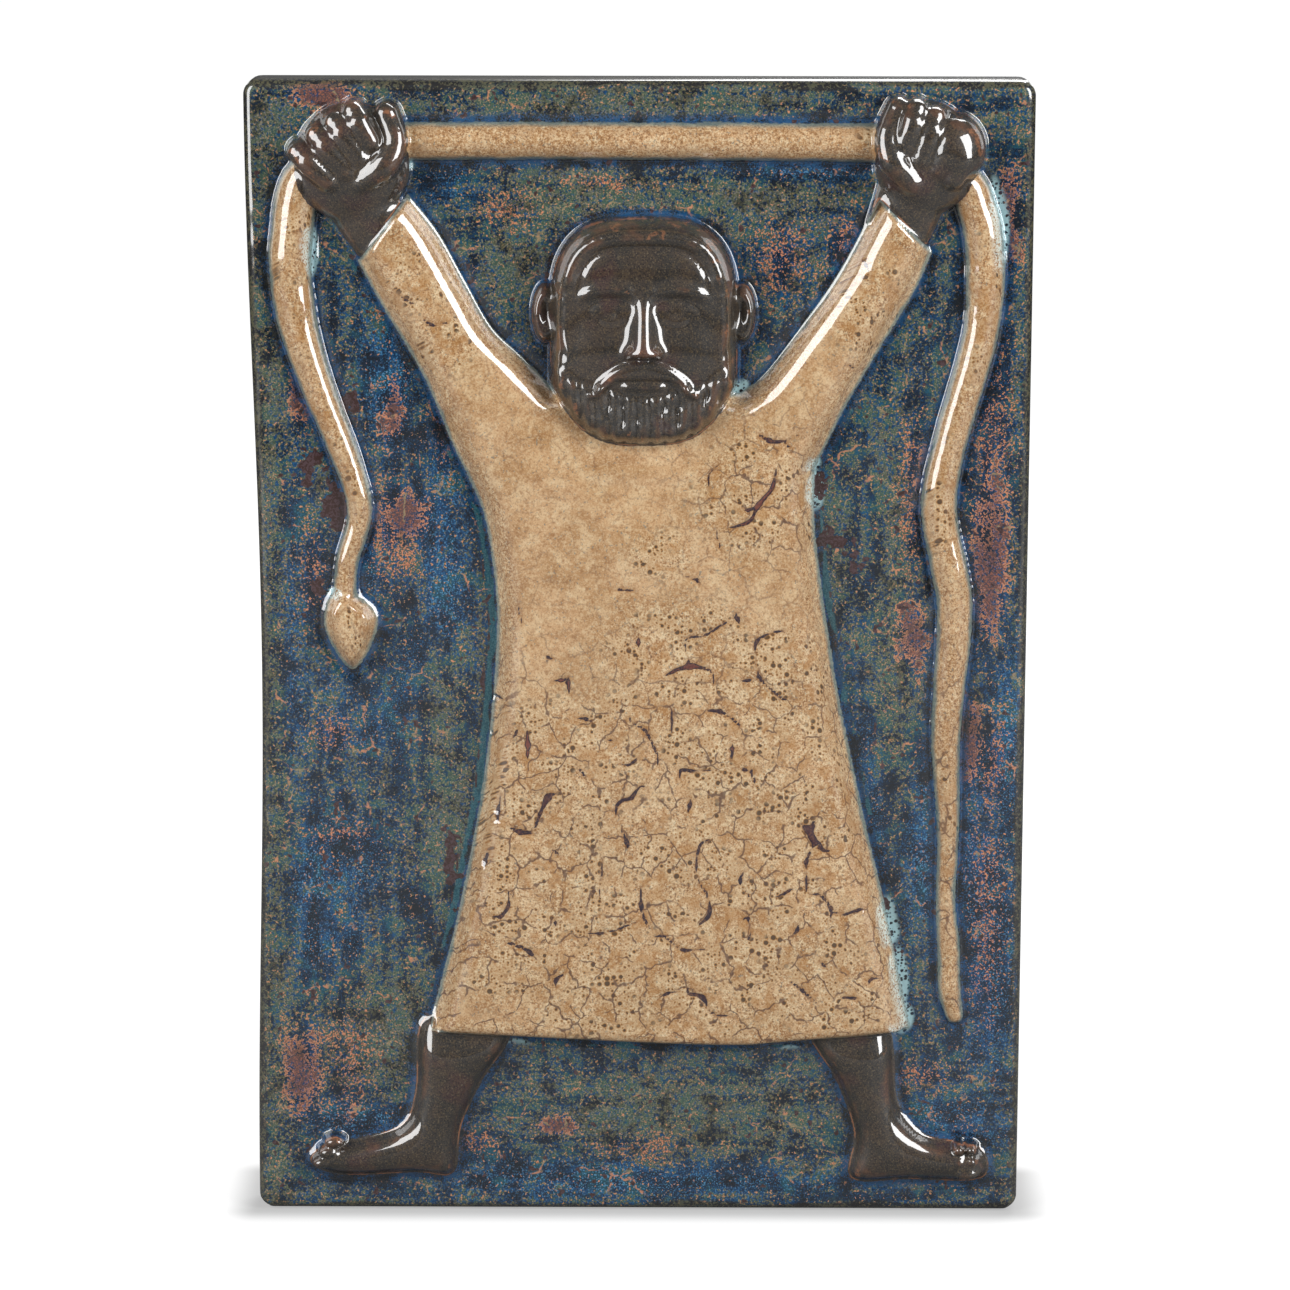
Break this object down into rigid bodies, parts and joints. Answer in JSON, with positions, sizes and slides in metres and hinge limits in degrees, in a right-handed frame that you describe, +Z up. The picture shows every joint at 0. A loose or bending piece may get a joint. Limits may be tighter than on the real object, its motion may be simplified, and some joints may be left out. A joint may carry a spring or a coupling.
{
  "type": "ceramic wall relief",
  "caption": "Upright rectangular stoneware wall relief of a bearded figure in a long tunic holding a snake above its head, with a hollow back and a hook notch.",
  "frame": {"origin": "hanging point: on the flat back of the upper rim, on the middle line, just above the hook notch", "axes": "+Z up along the plaque's height, +Y out of the back towards the wall, the picture faces -Y, +X to the right as seen from the front"},
  "size_m": [0.28, 0.0447, 0.4165],
  "materials": {
    "glazed_stoneware": "glossy fired glaze: tan crackled tunic and snake, iron-brown skin and hair, mottled blue, green and rust ground, bare clay back"
  },
  "bodies": {
    "root": {"relief_plaque": "glazed_stoneware"}
  },
  "joints": []
}
